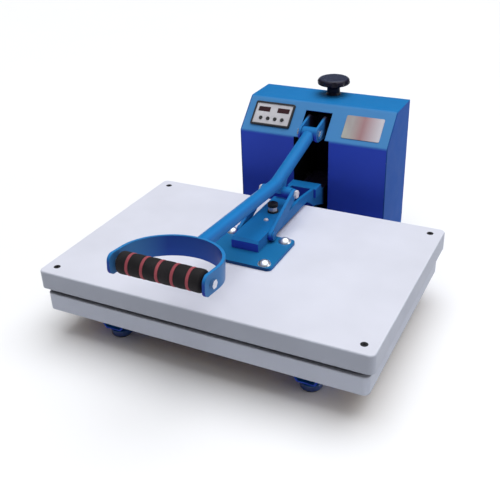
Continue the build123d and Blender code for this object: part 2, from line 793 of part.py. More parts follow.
def rear_cover():
    half = TOWER_HALF - SHEET
    panel = block(-half, half, TOWER_BACK - SHEET, TOWER_BACK, BASE_PLATE_TOP, TOWER_TOP - SHEET)
    for cut in vent_slots():
        panel -= cut
    panel -= inlet_block(TOWER_BACK - 5, TOWER_BACK + 5)
    panel -= switch_block(TOWER_BACK - 5, TOWER_BACK + 5)
    for x, z in rear_screw_spots():
        panel -= Pos(x, TOWER_BACK, z) * Rot(90, 0, 0) * Cylinder(2.0, 12.0)
    return panel


def rear_screws():
    screws = []
    for x, z in rear_screw_spots():
        shank = Pos(x, TOWER_BACK - 4.0, z) * Rot(90, 0, 0) * Cylinder(2.0, 8.0)
        head = Pos(x, TOWER_BACK + 0.8, z) * Rot(90, 0, 0) * Cylinder(3.8, 1.6)
        screws.append(shank + head)
    return group(screws)


# Control panel

def control_bezel():
    height = PANEL_HIGH - PANEL_LOW
    frame = slope_block(PANEL_X, PANEL_MID, PANEL_W, height, 0.0, BEZEL_T, 4.0)
    frame = chamfer(frame.faces().sort_by(Axis((0, 0, 0), slope_plane(0, 0).z_dir))[-1].edges(), 1.2)
    hole = slope_block(PANEL_X, PANEL_MID, PANEL_W - 2 * BEZEL_RIM, height - 2 * BEZEL_RIM, -1.0, 9.0, 1.5)
    return frame - hole


def button_places():
    return [(PANEL_X + BUTTON_PITCH * (k - 1.5), BUTTON_S) for k in range(4)]


def display_places():
    return [(PANEL_X + side * DISPLAY_DX, DISPLAY_S) for side in (-1, 1)]


def control_face():
    height = PANEL_HIGH - PANEL_LOW - 2 * BEZEL_RIM
    face = slope_block(PANEL_X, PANEL_MID, PANEL_W - 2 * BEZEL_RIM, height, 0.4, 0.4 + FACE_T, 1.5)
    for x, s in button_places():
        face -= slope_rod(x, s, BUTTON_R + GAP, -2.0, 6.0)
    for x, s in display_places():
        face -= slope_block(x, s, DISPLAY_W, DISPLAY_H, 0.8, 6.0)
    return face


def displays():
    return group([slope_block(x, s, DISPLAY_W, DISPLAY_H, 0.8, 2.6) for x, s in display_places()])


def controller_case():
    """The temperature and time controller behind the panel."""
    height = PANEL_HIGH - PANEL_LOW - 11.0
    case = slope_block(PANEL_X, PANEL_MID, PANEL_W - 11, height, -30.0, 0.4)
    for x, s in button_places():
        case -= slope_rod(x, s, BUTTON_R + GAP, -3.0, 6.0)
    return case


def button(number):
    x, s = button_places()[number]
    cap = slope_rod(x, s, BUTTON_R, -1.4, 4.2)
    top = cap.faces().sort_by(Axis((0, 0, 0), slope_plane(0, 0).z_dir))[-1]
    return fillet(top.edges(), 0.7)


def label_plate():
    height = LABEL_HIGH - LABEL_LOW
    return slope_block(LABEL_X, (LABEL_HIGH + LABEL_LOW) / 2, LABEL_W, height, 0.0, 1.0, 3.0)


# Electrical parts in the tower

def power_relay():
    """Solid-state relay's finned heat sink, screwed to the base plate."""
    z = BASE_PLATE_TOP
    sink = block(-128.0, -68.0, 250.0, 320.0, z, z + 8.0)
    for k in range(8):
        x = -128.0 + 8.2 * k
        sink += block(x, x + 2.6, 250.0, 320.0, z + 8.0, z + 34.0)
    return sink


def terminal_block():
    z = BASE_PLATE_TOP
    body = block(75.0, 135.0, 250.0, 274.0, z, z + 18.0)
    for k in range(5):
        body -= rod_z(83.0 + 11.0 * k, 262.0, z + 12.0, z + 20.0, 3.0)
    return body


def inlet_block(y0, y1):
    return block(INLET_X - 13.8, INLET_X + 13.8, y0, y1, INLET_Z - 10.0, INLET_Z + 10.0)


def mains_inlet():
    """Three-pin mains inlet with an open socket and a flange on the rear cover."""
    flange = block(
        INLET_X - 24.0, INLET_X + 24.0, TOWER_BACK, TOWER_BACK + 2.0, INLET_Z - 14.0, INLET_Z + 14.0
    )
    flange = fillet(flange.edges().filter_by(Axis.Y), 4.0)
    body = flange + inlet_block(TOWER_BACK - 26.0, TOWER_BACK)
    cavity = block(
        INLET_X - 12.0, INLET_X + 12.0, TOWER_BACK - 16.0, TOWER_BACK + 3, INLET_Z - 8.0, INLET_Z + 8.0
    )
    body -= cavity
    for dx, dz in ((-7.0, -1.5), (0.0, 2.0), (7.0, -1.5)):
        x = INLET_X + dx
        z = INLET_Z + dz
        body += block(x - 1.0, x + 1.0, TOWER_BACK - 17.0, TOWER_BACK - 3.0, z - 2.0, z + 2.0)
    return body


def switch_block(y0, y1):
    return block(SWITCH_X - 10.0, SWITCH_X + 10.0, y0, y1, INLET_Z - 14.0, INLET_Z + 14.0)


def switch_case():
    flange = block(
        SWITCH_X - 12.5, SWITCH_X + 12.5, TOWER_BACK, TOWER_BACK + 1.6, INLET_Z - 16.5, INLET_Z + 16.5
    )
    body = flange + switch_block(TOWER_BACK - 22.0, TOWER_BACK)
    well = block(
        SWITCH_X - 8.0, SWITCH_X + 8.0, TOWER_BACK - 12.0, TOWER_BACK + 3, INLET_Z - 12.0, INLET_Z + 12.0
    )
    pivot = (TOWER_BACK - 4.0, INLET_Z)
    return body - well - rod_x(pivot, SWITCH_X - 9.5, SWITCH_X + 9.5, TRUNNION_R + FIT)


def rocker():
    """Rocker of the mains switch, resting with its lower end pressed in."""
    pivot = (TOWER_BACK - 4.0, INLET_Z)
    y = pivot[0]
    outline = [(y - 4.0, -10.5), (y + 1.2, -10.5), (y + 3.2, 0.0), (y + 5.6, 10.5), (y - 4.0, 7.0)]
    body = Pos(0, 0, INLET_Z) * prism_x(outline, SWITCH_X - 7.6, SWITCH_X + 7.6)
    return body + rod_x(pivot, SWITCH_X - 9.2, SWITCH_X + 9.2, TRUNNION_R)


PARTS = {
    "base_rails": base_rails,
    "cross_bars": cross_bars,
    "base_plate": base_plate,
    "rubber_feet": rubber_feet,
    "foot_studs": foot_studs,
    "table_core": table_core,
    "table_skin": table_skin,
    "silicone_pad": silicone_pad,
    "platen_cover": platen_cover,
    "corner_posts": corner_posts,
    "cover_screws": cover_screws,
    "heating_plate": heating_plate,
    "heating_element": heating_element,
    "insulation": insulation,
    "pressure_spacers": pressure_spacers,
    "mount_plate": mount_plate,
    "dome_bolts": dome_bolts,
    "arm_sides": arm_sides,
    "arm_top_plate": arm_top_plate,
    "arm_rear_block": arm_rear_block,
    "arm_bushes": arm_bushes,
    "link_pins": link_pins,
    "stop_rubber": stop_rubber,
    "stop_bolt": stop_bolt,
    "link_left": lambda: link(-1),
    "link_right": lambda: link(1),
    "knee_bolt_left": lambda: knee_bolt(-1),
    "knee_bolt_right": lambda: knee_bolt(1),
    "uprights": uprights,
    "top_bridge": top_bridge,
    "pivot_shaft": pivot_shaft,
    "fork": fork,
    "lever_bolt": lever_bolt,
    "pressure_screw": pressure_screw,
    "knob": knob,
    "lever_tube": lever_tube,
    "knee_lug": knee_lug,
    "handle_strip": handle_strip,
    "grip_rod": grip_rod,
    "grip_bolts": grip_bolts,
    "foam_grip": foam_grip,
    "grip_rings": grip_rings,
    "housing_wrap": housing_wrap,
    "housing_sides": housing_sides,
    "rear_cover": rear_cover,
    "rear_screws": rear_screws,
    "control_bezel": control_bezel,
    "control_face": control_face,
    "displays": displays,
    "controller_case": controller_case,
    "button_1": lambda: button(0),
    "button_2": lambda: button(1),
    "button_3": lambda: button(2),
    "button_4": lambda: button(3),
    "label_plate": label_plate,
    "power_relay": power_relay,
    "terminal_block": terminal_block,
    "mains_inlet": mains_inlet,
    "switch_case": switch_case,
    "rocker": rocker,
}

for name, make in PARTS.items():
    export_step(Pos(0, CENTRE_Y, 0) * make(), f"parts/{name}.step")
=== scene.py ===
import bpy
import bmesh
import json
import math
from mathutils import Matrix, Vector, noise

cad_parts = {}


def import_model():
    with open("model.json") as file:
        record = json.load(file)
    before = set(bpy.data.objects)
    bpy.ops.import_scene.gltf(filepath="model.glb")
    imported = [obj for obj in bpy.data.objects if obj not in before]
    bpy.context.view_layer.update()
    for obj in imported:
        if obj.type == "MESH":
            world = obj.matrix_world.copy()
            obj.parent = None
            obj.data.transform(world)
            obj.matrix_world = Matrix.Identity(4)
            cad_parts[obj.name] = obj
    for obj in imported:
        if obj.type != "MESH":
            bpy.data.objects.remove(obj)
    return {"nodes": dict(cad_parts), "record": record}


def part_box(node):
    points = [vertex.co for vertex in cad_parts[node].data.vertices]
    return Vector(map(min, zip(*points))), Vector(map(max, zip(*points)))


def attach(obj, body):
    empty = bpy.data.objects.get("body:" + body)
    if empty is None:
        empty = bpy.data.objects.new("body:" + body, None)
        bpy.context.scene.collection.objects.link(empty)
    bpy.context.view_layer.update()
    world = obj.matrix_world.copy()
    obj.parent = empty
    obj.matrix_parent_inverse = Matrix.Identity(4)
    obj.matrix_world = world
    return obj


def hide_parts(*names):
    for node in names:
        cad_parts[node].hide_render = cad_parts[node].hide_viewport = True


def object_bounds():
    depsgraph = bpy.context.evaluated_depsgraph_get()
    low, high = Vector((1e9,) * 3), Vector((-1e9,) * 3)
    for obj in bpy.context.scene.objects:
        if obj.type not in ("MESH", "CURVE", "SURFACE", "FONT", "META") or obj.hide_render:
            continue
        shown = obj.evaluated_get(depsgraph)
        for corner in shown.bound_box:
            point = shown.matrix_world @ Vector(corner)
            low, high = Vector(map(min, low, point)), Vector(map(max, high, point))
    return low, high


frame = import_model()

cad_low, cad_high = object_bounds()
nodes = frame["nodes"]
scene = bpy.context.scene


# ---------------------------------------------------------------- node helpers

WEAR_RADIUS = 0.0012
WEAR_FULL = 2.0 / 3.0
SOFT_EDGE = 0.0006


class Shader:
    """A material's node tree with short calls for the nodes used here."""

    def __init__(self, name):
        self.material = bpy.data.materials.new(name)
        self.material.use_nodes = True
        self.tree = self.material.node_tree
        self.bsdf = self.tree.nodes["Principled BSDF"]
        texture = self.tree.nodes.new("ShaderNodeTexCoord")
        self.coords = texture.outputs["Object"]
        self.facing = texture.outputs["Normal"]

    def link(self, source, target):
        self.tree.links.new(source, target)

    def scaled(self, factors):
        node = self.tree.nodes.new("ShaderNodeMapping")
        node.inputs["Scale"].default_value = factors
        self.link(self.coords, node.inputs["Vector"])
        return node.outputs["Vector"]

    def part(self, vector, axis):
        node = self.tree.nodes.new("ShaderNodeSeparateXYZ")
        self.link(vector, node.inputs[0])
        return node.outputs[axis]

    def distance(self, axis):
        """Distance from the middle plane along an axis."""
        node = self.tree.nodes.new("ShaderNodeMath")
        node.operation = "ABSOLUTE"
        self.link(self.part(self.coords, axis), node.inputs[0])
        return node.outputs[0]

    def noise(self, scale, detail=3.0, roughness=0.55, vector=None):
        node = self.tree.nodes.new("ShaderNodeTexNoise")
        node.inputs["Scale"].default_value = scale
        node.inputs["Detail"].default_value = detail
        node.inputs["Roughness"].default_value = roughness
        self.link(vector or self.coords, node.inputs["Vector"])
        return node.outputs["Fac"]

    def cells(self, scale, vector=None):
        node = self.tree.nodes.new("ShaderNodeTexVoronoi")
        node.inputs["Scale"].default_value = scale
        self.link(vector or self.coords, node.inputs["Vector"])
        return node.outputs["Distance"]

    def ramp(self, value, low, high, out_low=0.0, out_high=1.0):
        """Maps a value from low and high to out_low and out_high, held at both ends."""
        node = self.tree.nodes.new("ShaderNodeMapRange")
        node.inputs["From Min"].default_value = low
        node.inputs["From Max"].default_value = high
        node.inputs["To Min"].default_value = out_low
        node.inputs["To Max"].default_value = out_high
        self.link(value, node.inputs["Value"])
        return node.outputs["Result"]

    def mix(self, fac, a, b):
        """Colour a where fac is 0 and b where it is 1. Each is a colour or a node's output."""
        node = self.tree.nodes.new("ShaderNodeMix")
        node.data_type = "RGBA"
        self.link(fac, node.inputs["Factor"])
        for value, key in ((a, "A"), (b, "B")):
            socket = [s for s in node.inputs if s.name == key and s.type == "RGBA"][0]
            if isinstance(value, tuple):
                socket.default_value = (*value, 1.0)
            else:
                self.link(value, socket)
        return [s for s in node.outputs if s.type == "RGBA"][0]

    def multiply(self, a, b):
        node = self.tree.nodes.new("ShaderNodeMath")
        node.operation = "MULTIPLY"
        for value, socket in ((a, node.inputs[0]), (b, node.inputs[1])):
            if isinstance(value, float):
                socket.default_value = value
            else:
                self.link(value, socket)
        return node.outputs[0]

    def rounded(self, radius):
        """Surface normal with soft edges."""
        bevel = self.tree.nodes.new("ShaderNodeBevel")
        bevel.samples = 4
        bevel.inputs["Radius"].default_value = radius
        return bevel.outputs["Normal"]

    def edges(self):
        """1 on convex and concave edges, 0 on flats."""
        geometry = self.tree.nodes.new("ShaderNodeNewGeometry")
        dot = self.tree.nodes.new("ShaderNodeVectorMath")
        dot.operation = "DOT_PRODUCT"
        self.link(self.rounded(WEAR_RADIUS), dot.inputs[0])
        self.link(geometry.outputs["Normal"], dot.inputs[1])
        return self.ramp(dot.outputs["Value"], 1.0, WEAR_FULL)

    def bump(self, height, strength, distance=0.0002, soft_edge=0.0):
        """Bends the surface normal by a height, over edges softened to a radius in metres."""
        node = self.tree.nodes.new("ShaderNodeBump")
        if soft_edge:
            self.link(self.rounded(soft_edge), node.inputs["Normal"])
        node.inputs["Strength"].default_value = strength
        node.inputs["Distance"].default_value = distance
        self.link(height, node.inputs["Height"])
        self.link(node.outputs["Normal"], self.bsdf.inputs["Normal"])

    def set(self, **values):
        """Sets the shader's own sockets from a colour, a number or another node's output."""
        names = {
            "color": "Base Color", "metallic": "Metallic", "roughness": "Roughness",
            "specular": "Specular IOR Level",
        }
        for key, value in values.items():
            socket = self.bsdf.inputs[names[key]]
            if isinstance(value, tuple):
                socket.default_value = (*value, 1.0)
            elif isinstance(value, (int, float)):
                socket.default_value = value
            else:
                self.link(value, socket)


# Painted light and shade: how far a normal points up, or to the right, where one painted tone gives way to
# the next
UPRIGHT_TO_SLANTED = (-0.05, 0.66)
SLANTED_TO_LEVEL = (0.76, 0.99)
TO_RIGHT_HAND = (0.55, 0.98)
PRIMER_BLACK_SHADE = (0.011, 0.008, 0.020)


def painted(name, light_shade_tones, bare, roughness, specular, peel=0.08, soft=0.0010, primer_shade=None):
    """Powder-coated steel, or a glossy moulding, with orange peel and worn edges.

    light_shade_tones are painted light and shade: the colours of upright faces
    (painted shade), slanted faces (painted sheen), level faces (painted light) and
    right-hand faces (painted side light). primer_shade is (axis, start, end): from
    start to end, in metres from the middle plane, the paint gives way to a black
    undercoat, which goes on past end; this black is painted shade inside the tower.
    """
    upright, slanted, level, right_hand = light_shade_tones
    s = Shader(name)
    # Colour by the way a face points: painted light and shade
    up = s.part(s.facing, "Z")
    base = s.mix(s.ramp(up, *UPRIGHT_TO_SLANTED), upright, slanted)
    base = s.mix(s.ramp(up, *SLANTED_TO_LEVEL), base, level)
    base = s.mix(s.ramp(s.part(s.facing, "X"), *TO_RIGHT_HAND), base, right_hand)
    drift = s.ramp(s.noise(9.0, 2.0), 0.30, 0.70, 0.93, 1.0)
    shade = s.tree.nodes.new("ShaderNodeHueSaturation")
    s.link(drift, shade.inputs["Value"])
    s.link(base, shade.inputs["Color"])
    chips = s.ramp(s.noise(160.0, 4.0), 0.62, 0.68)
    wear = s.multiply(s.edges(), chips)
    color = s.mix(wear, shade.outputs["Color"], bare)
    # Black undercoat inside the tower: painted shade
    if primer_shade:
        axis, start, end = primer_shade
        color = s.mix(s.ramp(s.distance(axis), start, end), color, PRIMER_BLACK_SHADE)
    s.set(color=color, specular=specular)
    s.set(roughness=s.ramp(s.noise(24.0, 3.0), 0.3, 0.7, roughness - 0.05, roughness + 0.07))
    s.bump(s.noise(900.0, 2.0), peel, soft_edge=soft)
    return s.material


def metal(name, color, dark, roughness, stretch=(1.0, 1.0, 1.0), metallic=1.0):
    """Bare or plated metal with fine tool marks."""
    s = Shader(name)
    marks = s.noise(260.0, 4.0, 0.6, s.scaled(stretch))
    stain = s.ramp(s.noise(40.0, 3.0), 0.35, 0.7)
    s.set(color=s.mix(stain, color, dark), metallic=metallic)
    s.set(roughness=s.ramp(marks, 0.3, 0.7, roughness - 0.05, roughness + 0.08))
    s.bump(marks, 0.06, 0.0001, soft_edge=SOFT_EDGE)
    return s.material


def plastic(name, color, light, roughness, grain=700.0, strength=0.08, specular=0.35):
    """Moulded plastic or rubber with a fine grain."""
    s = Shader(name)
    drift = s.ramp(s.noise(25.0, 3.0), 0.35, 0.7)
    s.set(color=s.mix(drift, color, light), specular=specular)
    s.set(roughness=s.ramp(s.noise(60.0, 3.0), 0.3, 0.7, roughness - 0.05, roughness + 0.08))
    s.bump(s.noise(grain, 2.0), strength, soft_edge=SOFT_EDGE)
    return s.material


def foam(name, color, light):
    """Closed-cell foam: dull, with small pores."""
    s = Shader(name)
    pores = s.ramp(s.cells(650.0), 0.05, 0.55)
    s.set(color=s.mix(s.multiply(pores, s.ramp(s.noise(45.0, 3.0), 0.3, 0.7)), color, light))
    s.set(roughness=s.ramp(s.noise(90.0, 2.0), 0.3, 0.7, 0.68, 0.86), specular=0.20)
    s.bump(pores, 0.35, 0.0003)
    return s.material


def label_metal(name):
    """Satin metal plate, greenish to pink across it, with a painted highlight that brightens it towards the
    right edge.
    """
    greenish, brownish = (0.36, 0.37, 0.33), (0.30, 0.27, 0.27)
    pink, bright = (0.29, 0.165, 0.175), (0.46, 0.44, 0.48)
    low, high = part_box("label_plate")
    s = Shader(name)
    across = s.ramp(s.part(s.coords, "X"), low.x, high.x)
    waves = s.noise(26.0, 2.0, 0.5, s.scaled((1.0, 0.35, 0.35)))
    left = s.mix(s.ramp(waves, 0.35, 0.6), greenish, brownish)
    middle = s.mix(s.ramp(across, 0.20, 0.48), left, pink)
    # Bright towards the right edge: a painted highlight
    s.set(color=s.mix(s.ramp(across, 0.50, 0.95), middle, bright), metallic=0.55)
    s.set(roughness=s.ramp(s.noise(120.0, 3.0), 0.3, 0.7, 0.34, 0.46))
    s.bump(s.noise(300.0, 3.0, 0.5, s.scaled((1.0, 0.1, 0.1))), 0.04, 0.0001, soft_edge=SOFT_EDGE)
    return s.material


# Painted light and shade, one set for each place: colours of upright faces (painted shade), slanted faces
# (painted sheen), level faces (painted light) and right-hand faces (painted side light)
BLUE_LIGHT_SHADE = ((0.030, 0.060, 0.500), (0.020, 0.190, 0.500), (0.012, 0.175, 0.460), (0.020, 0.132, 0.370))
PLATE_LIGHT_SHADE = ((0.014, 0.052, 0.170), (0.020, 0.160, 0.400), (0.012, 0.145, 0.345), (0.020, 0.132, 0.370))
TOWER_LIGHT_SHADE = ((0.034, 0.066, 0.560), (0.070, 0.250, 0.540), (0.014, 0.185, 0.480), (0.026, 0.085, 0.320))
SIDE_LIGHT_SHADE = ((0.026, 0.085, 0.320), (0.026, 0.085, 0.320), (0.014, 0.185, 0.480), (0.026, 0.085, 0.320))
STRIP_LIGHT_SHADE = ((0.014, 0.026, 0.260), (0.018, 0.170, 0.450), (0.020, 0.200, 0.500), (0.040, 0.150, 0.360))
FOOT_LIGHT_SHADE = ((0.010, 0.030, 0.160), (0.014, 0.090, 0.270), (0.012, 0.120, 0.320), (0.014, 0.060, 0.230))
GREY_LIGHT_SHADE = ((0.336, 0.356, 0.418), (0.540, 0.560, 0.640), (0.655, 0.665, 0.745), (0.344, 0.364, 0.430))
TABLE_LIGHT_SHADE = ((0.452, 0.478, 0.560), (0.560, 0.580, 0.660), (0.655, 0.665, 0.745), (0.375, 0.400, 0.474))
KNOB_LIGHT_SHADE = ((0.006, 0.004, 0.013), (0.016, 0.014, 0.030), (0.038, 0.044, 0.078), (0.006, 0.005, 0.013))
BLACK_LIGHT_SHADE = ((0.010, 0.010, 0.012), (0.012, 0.012, 0.014), (0.014, 0.014, 0.017), (0.010, 0.010, 0.012))
BARE_STEEL = (0.20, 0.23, 0.30)
BARE_GREY = (0.46, 0.47, 0.50)

# Painted shade: where the black undercoat starts and is full, inside the tower's front and inside its rear
# cover, standing in for the shade in there
TOWER_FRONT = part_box("housing_wrap")[0].y
REAR_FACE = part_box("rear_cover")[1].y
ARM_PRIMER_SHADE = ("Y", TOWER_FRONT - 0.004, TOWER_FRONT + 0.010)
FORK_PRIMER_SHADE = ("Y", TOWER_FRONT + 0.018, TOWER_FRONT + 0.032)
REAR_PRIMER_SHADE = ("Y", REAR_FACE - 0.0004, REAR_FACE - 0.0014)

# Each paint below takes its colour from the way a face points, as painted light and shade; the blue and grey
# copies differ in their painted light and shade and some in gloss, and the arm, fork and rear cover go black
# inside the tower as painted shade
BLUE = painted("blue_paint", BLUE_LIGHT_SHADE, BARE_STEEL, 0.34, 0.05)
BLUE_PLATE = painted("blue_paint_plate", PLATE_LIGHT_SHADE, BARE_STEEL, 0.34, 0.05)
BLUE_ARM = painted("blue_paint_arm", BLUE_LIGHT_SHADE, BARE_STEEL, 0.34, 0.05, primer_shade=ARM_PRIMER_SHADE)
BLUE_FORK = painted("blue_paint_fork", BLUE_LIGHT_SHADE, BARE_STEEL, 0.34, 0.10, primer_shade=FORK_PRIMER_SHADE)
BLUE_WRAP = painted("blue_paint_wrap", TOWER_LIGHT_SHADE, BARE_STEEL, 0.34, 0.06)
BLUE_REAR = painted("blue_paint_rear", SIDE_LIGHT_SHADE, BARE_STEEL, 0.36, 0.04, primer_shade=REAR_PRIMER_SHADE)
BLUE_SIDES = painted("blue_paint_sides", SIDE_LIGHT_SHADE, BARE_STEEL, 0.40, 0.005)
BLUE_STRIP = painted("blue_paint_strip", STRIP_LIGHT_SHADE, BARE_STEEL, 0.34, 0.08)
GREY_TABLE = painted("grey_paint_table", TABLE_LIGHT_SHADE, BARE_GREY, 0.50, 0.25, 0.05, 0.0014)
GREY = painted("grey_paint", GREY_LIGHT_SHADE, BARE_GREY, 0.50, 0.25, 0.05, 0.0014)
BLACK = painted("black_metal", BLACK_LIGHT_SHADE, (0.12, 0.12, 0.13), 0.50, 0.20)
BLUE_FEET = painted("blue_paint_feet", FOOT_LIGHT_SHADE, BARE_STEEL, 0.18, 0.80)
BRIGHT = metal("bright_steel", (0.80, 0.81, 0.84), (0.66, 0.67, 0.70), 0.20)
SATIN = metal("satin_steel", (0.78, 0.80, 0.84), (0.68, 0.70, 0.75), 0.36)
ZINC = metal("zinc_plated", (0.74, 0.70, 0.74), (0.62, 0.59, 0.64), 0.42, metallic=0.45)
STEEL = metal("steel", (0.46, 0.46, 0.48), (0.32, 0.32, 0.33), 0.36, (0.1, 1.0, 1.0))
BRONZE = metal("bronze", (0.50, 0.34, 0.14), (0.36, 0.23, 0.09), 0.38)
SINK = metal("heat_sink", (0.58, 0.59, 0.60), (0.46, 0.47, 0.48), 0.4)
COATED = plastic("coated_plate", (0.014, 0.015, 0.020), (0.022, 0.023, 0.028), 0.5)
SILICONE = foam("silicone", (0.014, 0.015, 0.019), (0.024, 0.025, 0.030))
RUBBER = plastic("rubber", (0.010, 0.010, 0.011), (0.020, 0.020, 0.021), 0.6, 500.0, 0.15)
FOAM = foam("foam", (0.008, 0.007, 0.008), (0.021, 0.018, 0.020))
RING = foam("ring_red", (0.26, 0.050, 0.066), (0.37, 0.085, 0.100))
# The knob's colour is painted light and shade as well: lighter on top, darker on its upright rim
KNOB = painted("knob_black", KNOB_LIGHT_SHADE, (0.034, 0.034, 0.044), 0.26, 0.14, 0.03, 0.0006)
FRAME_BLACK = plastic("panel_black", (0.008, 0.008, 0.012), (0.014, 0.014, 0.018), 0.4)
FACE = plastic("panel_white", (0.58, 0.57, 0.60), (0.48, 0.46, 0.49), 0.45, 500.0, 0.03)
DISPLAY = plastic("display", (0.022, 0.003, 0.006), (0.036, 0.005, 0.010), 0.16, 300.0, 0.0, 0.20)
BUTTON = plastic("button_black", (0.010, 0.010, 0.011), (0.018, 0.018, 0.020), 0.5)
LABEL = label_metal("label_metal")
WOOL = foam("wool", (0.55, 0.50, 0.40), (0.62, 0.57, 0.47))
BOARD = plastic("board", (0.28, 0.18, 0.10), (0.36, 0.25, 0.15), 0.8, 300.0, 0.3)
INLET = plastic("inlet_black", (0.014, 0.014, 0.015), (0.022, 0.022, 0.024), 0.5)
NYLON = plastic("terminal_white", (0.62, 0.60, 0.55), (0.68, 0.66, 0.62), 0.5)
ROCKER = plastic("rocker_red", (0.36, 0.012, 0.012), (0.42, 0.02, 0.02), 0.3, 500.0, 0.03, 0.50)

SLOT_MATERIALS = {
    "blue_paint": BLUE, "grey_paint": GREY, "black_metal": BLACK, "bright_steel": BRIGHT, "steel": STEEL,
    "bronze": BRONZE, "heat_sink": SINK, "coated_plate": COATED, "silicone": SILICONE, "rubber": RUBBER,
    "foam": FOAM, "ring_red": RING, "knob_black": KNOB, "panel_black": FRAME_BLACK, "panel_white": FACE,
    "display": DISPLAY, "button_black": BUTTON, "label_metal": LABEL, "wool": WOOL, "board": BOARD,
    "inlet_black": INLET, "terminal_white": NYLON, "rocker_red": ROCKER,
}

slot_of = {row["node"]: row["material_slot"] for row in frame["record"]["subparts"]}
# Nodes whose material isn't simply their slot's
own_material = {
    "fork": BLUE_FORK, "arm_rear_block": BLUE_ARM, "arm_sides": BLUE_ARM, "housing_wrap": BLUE_WRAP,
    "pivot_shaft": BLACK, "arm_bushes": BRONZE, "lever_bolt": BRIGHT, "foot_studs": BLUE_FEET,
    "housing_sides": BLUE_SIDES, "handle_strip": BLUE_STRIP, "table_skin": GREY_TABLE,
    "rear_cover": BLUE_REAR, "dome_bolts": SATIN, "mount_plate": BLUE_PLATE,
    "stop_bolt": ZINC, "knee_bolt_left": ZINC, "knee_bolt_right": ZINC,
}
for name, obj in nodes.items():
    obj.data.materials.clear()
    obj.data.materials.append(own_material.get(name, SLOT_MATERIALS[slot_of[name]]))


# ---------------------------------------------------------------- soft pieces

def mesh_piece(name, bm, material, body, *replaced):
    """Makes a smooth piece that stands for CAD nodes and rides on their body."""
    mesh = bpy.data.meshes.new(name)
    bmesh.ops.recalc_face_normals(bm, faces=bm.faces)
    bm.to_mesh(mesh)
    bm.free()
    mesh.polygons.foreach_set("use_smooth", [True] * len(mesh.polygons))
    mesh.materials.append(material)
    obj = bpy.data.objects.new(name, mesh)
    scene.collection.objects.link(obj)
    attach(obj, body)
    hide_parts(*replaced)
    return obj


def sleeve(bm, middle, profile, ripple, steps=96):
    """A ring-shaped form about an axis along X. profile is a closed list of (x, radius)."""
    loops = []
    for k in range(steps):
        a = 2.0 * math.pi * k / steps
        loop = []
        for x, radius in profile:
            place = Vector((x * 60.0, math.cos(a) * 2.0, math.sin(a) * 2.0))
            r = radius - ripple * (0.5 + 0.5 * noise.noise(place))
            loop.append(bm.verts.new((middle.x + x, middle.y + r * math.cos(a), middle.z + r * math.sin(a))))
        loops.append(loop)
    for near, far in zip(loops, loops[1:] + loops[:1]):
        skin(bm, near, far)


def skin(bm, near, far):
    """Faces between two closed loops with the same number of points."""
    count = len(near)
    for i in range(count):
        j = (i + 1) % count
        bm.faces.new((near[i], near[j], far[j], far[i]))


RINGS = 5
RING_HALF = 0.0025
RING_BED = 0.0016
CROWN = 0.0008
ROLL = 0.0050
END_SHARE = 0.04


def stations(half, count):
    """Places along a sleeve, evenly spaced but closer together over each end's share of them."""
    edge = half * math.cos(math.pi * END_SHARE)
    places = []
    for i in range(count + 1):
        t = i / count
        if END_SHARE <= t <= 1.0 - END_SHARE:
            places.append(-edge + (t - END_SHARE) / (1.0 - 2.0 * END_SHARE) * 2.0 * edge)
        else:
            places.append(-half * math.cos(math.pi * t))
    return places


def foam_radius(x, radius, half, rings):
    """Outer radius of the foam at x: crowned between the rings, rolled over at the ends."""
    if any(abs(x - p) < RING_HALF - 1e-6 for p in rings):
        r = radius - RING_BED
    else:
        marks = [-half] + [p + side * RING_HALF for p in rings for side in (-1, 1)] + [half]
        start = max(e for e in marks if e <= x + 1e-9)
        end = min([e for e in marks if e > x + 1e-9] or [half])
        r = radius - CROWN
        if end - start > 3 * RING_HALF:
            r += CROWN * math.sin(math.pi * (x - start) / (end - start)) ** 0.5
    depth = half - abs(x)
    if depth < ROLL:
        r -= ROLL - math.sqrt(max(ROLL ** 2 - (ROLL - depth) ** 2, 0.0))
    return r


def ring_profile(place, radius):
    """Section of one ring: a low arch outside, square inside."""
    arch = []
    for i in range(9):
        t = -1.0 + i / 4.0
        rise = 0.0006 * math.sqrt(max(1.0 - t * t, 0.0))
        arch.append((place + RING_HALF * t, radius - 0.0006 + rise))
    inside = radius - 0.0022
    return arch + [(place + RING_HALF, inside), (place - RING_HALF, inside)]


def grip():
    """Foam sleeve, crowned between five snug rings."""
    low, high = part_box("foam_grip")
    ring_low, ring_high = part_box("grip_rings")
    rod_low, rod_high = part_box("grip_rod")
    middle = (low + high) / 2
    radius = (high.z - low.z) / 2
    half = (high.x - low.x) / 2
    bore = (rod_high.z - rod_low.z) / 2
    pitch = (ring_high.x - ring_low.x - 2 * RING_HALF) / (RINGS - 1)
    rings = [pitch * (k - (RINGS - 1) / 2) for k in range(RINGS)]

    outer = [(x, foam_radius(x, radius, half, rings)) for x in stations(half, 268)]
    mouth, throat = half - 0.0015, half - 0.004
    inner = [(mouth, bore + 0.0012), (throat, bore), (-throat, bore), (-mouth, bore + 0.0012)]
    bm = bmesh.new()
    sleeve(bm, middle, outer + inner, 0.00022)
    foam_piece = mesh_piece("foam_sleeve", bm, FOAM, "lever", "foam_grip")

    bm = bmesh.new()
    for place in rings:
        sleeve(bm, middle, ring_profile(place, radius), 0.00012)
    ring_piece = mesh_piece("foam_rings", bm, RING, "lever", "grip_rings")


SHEET_CORNER = 0.006
SHEET_SWELL = 0.0009
SHEET_LEVELS = 9


def rounded_outline(half_x, half_y, corner):
    """A rectangle with round corners, about the origin, as a closed list of (x, y)."""
    outline = []
    for sx, sy, start in ((1, 1, 0.0), (-1, 1, 90.0), (-1, -1, 180.0), (1, -1, 270.0)):
        for k in range(7):
            a = math.radians(start + 15.0 * k)
            x = sx * (half_x - corner) + corner * math.cos(a)
            y = sy * (half_y - corner) + corner * math.sin(a)
            outline.append((x, y))
    return outline


